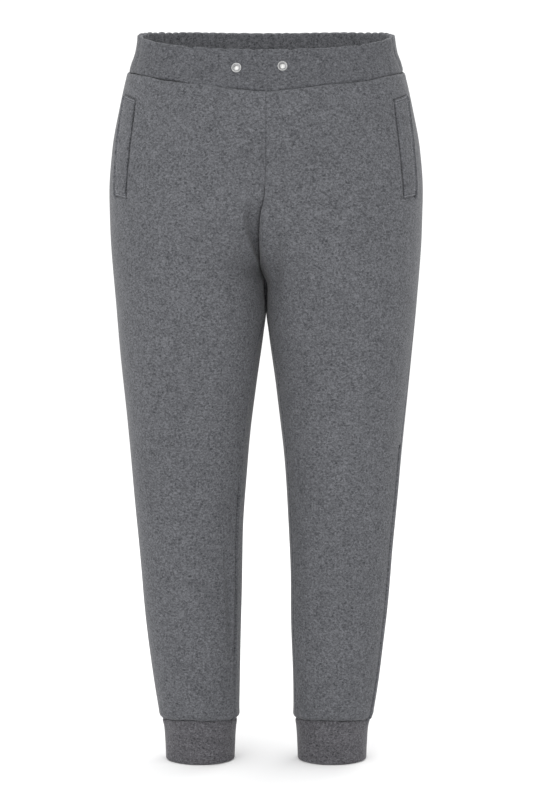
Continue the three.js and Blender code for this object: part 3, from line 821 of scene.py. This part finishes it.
def band_piece():
    even = np.linspace(0, 2 * np.pi, ROUND_POINTS)
    line = band_base(even, np.full(ROUND_POINTS, 0.5))
    run = np.concatenate([[0], np.cumsum(np.linalg.norm(np.diff(line, axis=0), axis=1))])
    angle = np.interp(np.linspace(0, run[-1], BAND_COLUMNS + 1)[:-1], run, even)[None]
    fold = BAND_CLOTH / 2
    fold_rise = 1 - fold / BAND_HEIGHT
    edge = np.array([0.02, 0.5, 1, 1.6, 2.4, 3.6]) / BAND_HEIGHT
    up = np.concatenate([edge, np.linspace(0.1, fold_rise, 28)])

    # The rows go up the outer ply, over the fold and down the inner ply. Each has its rise, its
    # depth behind the outside, and how far it faces out, 1, or in, -1.
    rows = [(rise, 0.0, 1.0) for rise in up]
    rows += [
        (fold_rise + fold * math.sin(a) / BAND_HEIGHT, fold * (1 - math.cos(a)), math.cos(a))
        for a in ROUND_FOLD
    ]
    rows += [(rise, BAND_CLOTH, -1.0) for rise in up[::-1]]
    rise, depth, side = (np.array(column)[:, None] for column in zip(*rows))

    # The gathers lean a little and fill out from the seam up
    share = gathered(angle)
    bulge = bulge_at(angle + 0.012 * np.sin(3.1 * rise + 7 * angle))
    full = smooth(0, 0.3, rise) * (0.85 + 0.15 * np.sin(9 * angle + 4 * rise))
    puff = (FRONT_PUFF * (1 - share) + BACK_PUFF * share) * bulge * full * side
    middle = 1 - EVEN_BACK * smooth(0.62, 0.84, -np.sin(angle))
    tuck = SCALLOP * middle * (0.25 + 0.75 * share) * (1 - bulge) * rise**2
    for x, dip in FRONT_TUCKS:
        beside = np.cos(angle) - x / TOP_HALF_WIDTH
        at = ridge(beside, 1, FRONT_TUCK_WIDTH) * (np.sin(angle) > 0)
        tuck = tuck + dip * at * np.maximum(rise, 0) ** 8
    tuck = tuck / BAND_HEIGHT
    pucker = 0.25 * np.sin(61 * angle + 5 * rise) * np.sin(9 * rise + 13 * angle)
    away = puff + pucker * side - depth
    away = away + np.sign(side) * seam_groove(BAND_HEIGHT * rise, 1.5)
    spots = np.broadcast_to(angle, away.shape)
    points, out = facing(band_base, spots, rise - tuck)
    points = points + out * away[..., None]
    points[..., 2] += waist_wave(spots) * np.exp(-BAND_HEIGHT * np.maximum(rise, 0) / 6)
    return grid_mesh("band_casing", points[::-1], closed=True, flipped=False)


# The holes for the eyelets go through the outer ply alone: its faces are all within 3 mm of the
# band's outside, and those of the inner ply are further in
HOLE_RADIUS, HOLE_REACH = 4.2, 3
casing = band_piece()
mesh = bmesh.new()
mesh.from_mesh(casing.data)
for x, rise in EYELETS.values():
    centre, out = (Vector(v) for v in eyelet_place(x, rise))
    inside = []
    for cloth_face in mesh.faces:
        offset = cloth_face.calc_center_median() / MM - centre
        depth = offset.dot(out)
        if abs(depth) < HOLE_REACH and (offset - out * depth).length < HOLE_RADIUS:
            inside.append(cloth_face)
    bmesh.ops.delete(mesh, geom=inside, context="FACES")
mesh.to_mesh(casing.data)
mesh.free()
apply_modifier(casing, "SOLIDIFY", thickness=CASING_PLY * MM, offset=-1)

# The fleece is drawn over the elastic. Outside it is a shade darker, as painted shade; inside it is
# a shade paler, as painted light where the inner ply lies in the shadow of the waist.
casing.data.materials.append(melange("casing outside with painted shade", "#323336", "#66676b", GRAIN))
casing.data.materials.append(melange("casing inside with painted light", "#3b3c3f", "#76777b", GRAIN))
# Faces turned outwards take the painted shade, faces turned inwards the painted light
for cloth_face in casing.data.polygons:
    radial = Vector((cloth_face.center.x, cloth_face.center.y, 0))
    cloth_face.material_index = int(cloth_face.normal.dot(radial) < 0)
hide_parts("waistband")
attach(casing, "root")


# Eyelets
# Two nickel-plated brass eyelets, 13 mm across with a 6.4 mm hole, set through the outer ply.
# The rim is rolled, the flange dips inside it, and the barrel goes down through the cloth.

# Tumbled and plated: a pale metal whose fine scuffs, about 0.8 mm long, blur what it reflects.
# Inside the rim the plate has lost its shine.
nickel = bpy.data.materials.new("nickel-plated brass")
nickel.use_nodes = True
tree = nickel.node_tree
place = node(tree, "ShaderNodeTexCoord").outputs["Object"]
scuffs = node(tree, "ShaderNodeTexNoise", {"Vector": place, "Scale": 1 / (0.8 * MM), "Detail": 3})
dull = node(tree, "ShaderNodeMapRange", {"Value": scuffs.outputs["Fac"], "To Min": 0.28, "To Max": 0.45})
tree.links.new(dull.outputs[0], tree.nodes["Principled BSDF"].inputs["Roughness"])
tree.nodes["Principled BSDF"].inputs["Base Color"].default_value = srgb("#a2a2a2")
tree.nodes["Principled BSDF"].inputs["Metallic"].default_value = 1
dull_nickel = nickel.copy()
dull_nickel.name = "dulled nickel inside the rim"
dull_nickel.node_tree.nodes["Principled BSDF"].inputs["Base Color"].default_value = srgb("#828283")

# Radius and height over the band of each ring that the eyelet's wall passes, from its rim
# inwards, and how far from the middle the dull part of it reaches
EYELET_WALL = [
    (6.5, 0.45), (6.5, 0.9), (6.3, 1.3), (5.85, 1.5), (5.3, 1.35), (4.9, 1.0),
    (4.4, 0.75), (3.9, 0.7), (3.6, 0.75), (3.3, 0.55), (3.2, 0.2), (3.2, -0.7),
]
DULL_RADIUS = 4.7
EYELET_METAL = 0.3
for side, (x, rise) in EYELETS.items():
    first, *rest = EYELET_WALL
    bpy.ops.mesh.primitive_circle_add(vertices=72, radius=first[0] * MM, location=(0, 0, 0))
    eyelet = bpy.context.active_object
    eyelet.name = eyelet.data.name = f"eyelet_ring_{side}"
    bpy.ops.object.mode_set(mode="EDIT")
    bpy.ops.mesh.select_all(action="SELECT")
    bpy.ops.transform.translate(value=(0, 0, first[1] * MM))
    for (radius, height), (next_radius, next_height) in zip(EYELET_WALL, rest):
        bpy.ops.mesh.extrude_region_move(
            TRANSFORM_OT_translate={"value": (0, 0, (next_height - height) * MM)}
        )
        bpy.ops.transform.resize(value=(next_radius / radius, next_radius / radius, 1))
    bpy.ops.mesh.select_all(action="SELECT")
    bpy.ops.mesh.normals_make_consistent(inside=False)
    bpy.ops.object.mode_set(mode="OBJECT")
    for metal in (nickel, dull_nickel):
        eyelet.data.materials.append(metal)
    for wall in eyelet.data.polygons:
        wall.material_index = int(wall.center.xy.length < DULL_RADIUS * MM)
    centre, out = eyelet_place(x, rise)
    turn = Vector((0, 0, 1)).rotation_difference(Vector(out)).to_matrix().to_4x4()
    eyelet.data.transform(Matrix.Translation(Vector(centre) * MM) @ turn)
    eyelet.data.shade_smooth()
    apply_modifier(eyelet, "SOLIDIFY", thickness=EYELET_METAL * MM, offset=-1)
    apply_modifier(eyelet, "SUBSURF", levels=1, render_levels=1)
    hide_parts(f"eyelet_{side}")
    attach(eyelet, "root")


# Cuffs
# Doubled knit, a little darker than the fleece, folded at the hem and stretched on to the leg.
# Both edges are in the cuff seam, which draws the leg in and ripples it.
CUFF = columns("z out inner front back square", [
    (-890, 140.3, 39.2, -43.8, 58.8, 2),
    (-903, 137.6, 40.5, -43, 57.3, 2),
    (-914, 136.4, 41.4, -42.4, 56.5, 2),
    (-931, 135.5, 41.8, -42.1, 56, 2),
    (-944, 135.3, 42, -42, 55.8, 2),
])
CUFF_CLOTH = 2.8
CUFF_COLUMNS = 240
HALF_GAP_OF_CUFFS = 0.2


def cuff_piece(side):
    leg = LEGS[side]

    def base(angle, z):
        x, y = outline_point(CUFF, angle, z)
        x = leg["sign"] * (x + HALF_GAP_OF_CUFFS)
        return np.stack([x, y, z + cuff_rise(angle, z)], axis=-1)

    bend = CUFF_CLOTH / 2
    down = CUFF_SEAM - np.array([0.02, 0.5, 1.1, 1.8, 2.7, 4, 6])
    down = np.concatenate([down, np.linspace(-898, HEM + bend, 24)])

    # The rows go down the outer ply, under the hem's fold and up the inner ply
    rows = [(z, 0.0) for z in down]
    rows += [(HEM + bend - bend * math.sin(a), bend * (1 - math.cos(a))) for a in ROUND_FOLD]
    rows += [(z, CUFF_CLOTH) for z in down[::-1]]
    z, depth = (np.array(column)[:, None] for column in zip(*rows))
    angle = np.linspace(0, 2 * np.pi, CUFF_COLUMNS + 1)[:-1][None]
    angle, z, depth = np.broadcast_arrays(angle, z, depth)
    points, out = facing(base, angle, z)
    out = out * leg["sign"]
    out[..., 2] = 0
    out /= np.linalg.norm(out, axis=-1, keepdims=True)
    below = CUFF_SEAM - z
    outside = depth < bend
    ripple = 0.5 * np.sin(19 * angle + 2 * np.sin(3 * angle)) * np.exp(-below / 7)
    slack = 0.3 * np.sin(3 * angle + z / 17) + 0.2 * np.sin(8 * angle - z / 9)
    away = np.where(outside, ripple + slack + seam_groove(below), slack - 0.2) - depth
    points = points + out * away[..., None]
    points[..., 2] += cuff_wave(leg, angle) * np.exp(-below / 6)
    return grid_mesh(f"cuff_knit_{side}", points, closed=True, flipped=leg["sign"] < 0)


# The same yarns knitted closer: darker and more sharply flecked, in a grain that is drawn
# coarser than the real one too
KNIT_GRAIN = 2.3
knit = melange("doubled melange knit", "#2b2a2d", "#6a696d", KNIT_GRAIN)
for side in LEGS:
    cuff = cuff_piece(side)
    cuff.data.materials.append(knit)
    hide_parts(f"cuff_{side}")
    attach(cuff, "root")


# Studio
# A white paper floor under the cuffs, white all round, a broad soft light above and in front,
# and the camera that the photograph was taken with.
bpy.ops.mesh.primitive_plane_add(size=30, location=(0, 0, (HEM - 1) * MM))
floor = bpy.context.active_object
floor.name = "studio_floor"

# Matt paper, so bright that only the soft shadow at the cuffs shows on it
paper = bpy.data.materials.new("white paper")
paper.use_nodes = True
paper.node_tree.nodes["Principled BSDF"].inputs["Base Color"].default_value = srgb("#f9f9f9")
paper.node_tree.nodes["Principled BSDF"].inputs["Roughness"].default_value = 1
floor.data.materials.append(paper)

world = bpy.data.worlds.new("white studio")
world.use_nodes = True
world.node_tree.nodes["Background"].inputs["Color"].default_value = (1, 1, 1, 1)
world.node_tree.nodes["Background"].inputs["Strength"].default_value = 1.13
bpy.context.scene.world = world

# Each light's name, place and size in metres, and power in watts
AIM = Vector((0, 0, -0.45))
for name, place, size, watts in [
    ("front_softbox", (-1.2, -3.0, 1.2), 2, 34),
    ("top_softbox", (0, 0.4, 3), 3, 20),
    ("back_softbox", (1.6, 3.0, 1.7), 1.6, 27),
]:
    light = bpy.data.lights.new(name, "AREA")
    light.size = size
    light.energy = watts
    lamp = bpy.data.objects.new(name, light)
    lamp.location = place
    lamp.rotation_euler = (AIM - Vector(place)).to_track_quat("-Z", "Y").to_euler()
    bpy.context.collection.objects.link(lamp)

# The camera looks down a little, by this many degrees
CAMERA_TILT = 3.81
camera = bpy.data.objects.new("camera", bpy.data.cameras.new("camera"))
camera.location = (0.0004, -3.1, -0.253)
camera.rotation_euler = (math.radians(90 - CAMERA_TILT), 0, 0)
camera.data.sensor_width = 36
camera.data.lens = 104.56
bpy.context.collection.objects.link(camera)
bpy.context.scene.camera = camera
bpy.context.scene.view_settings.view_transform = "Standard"
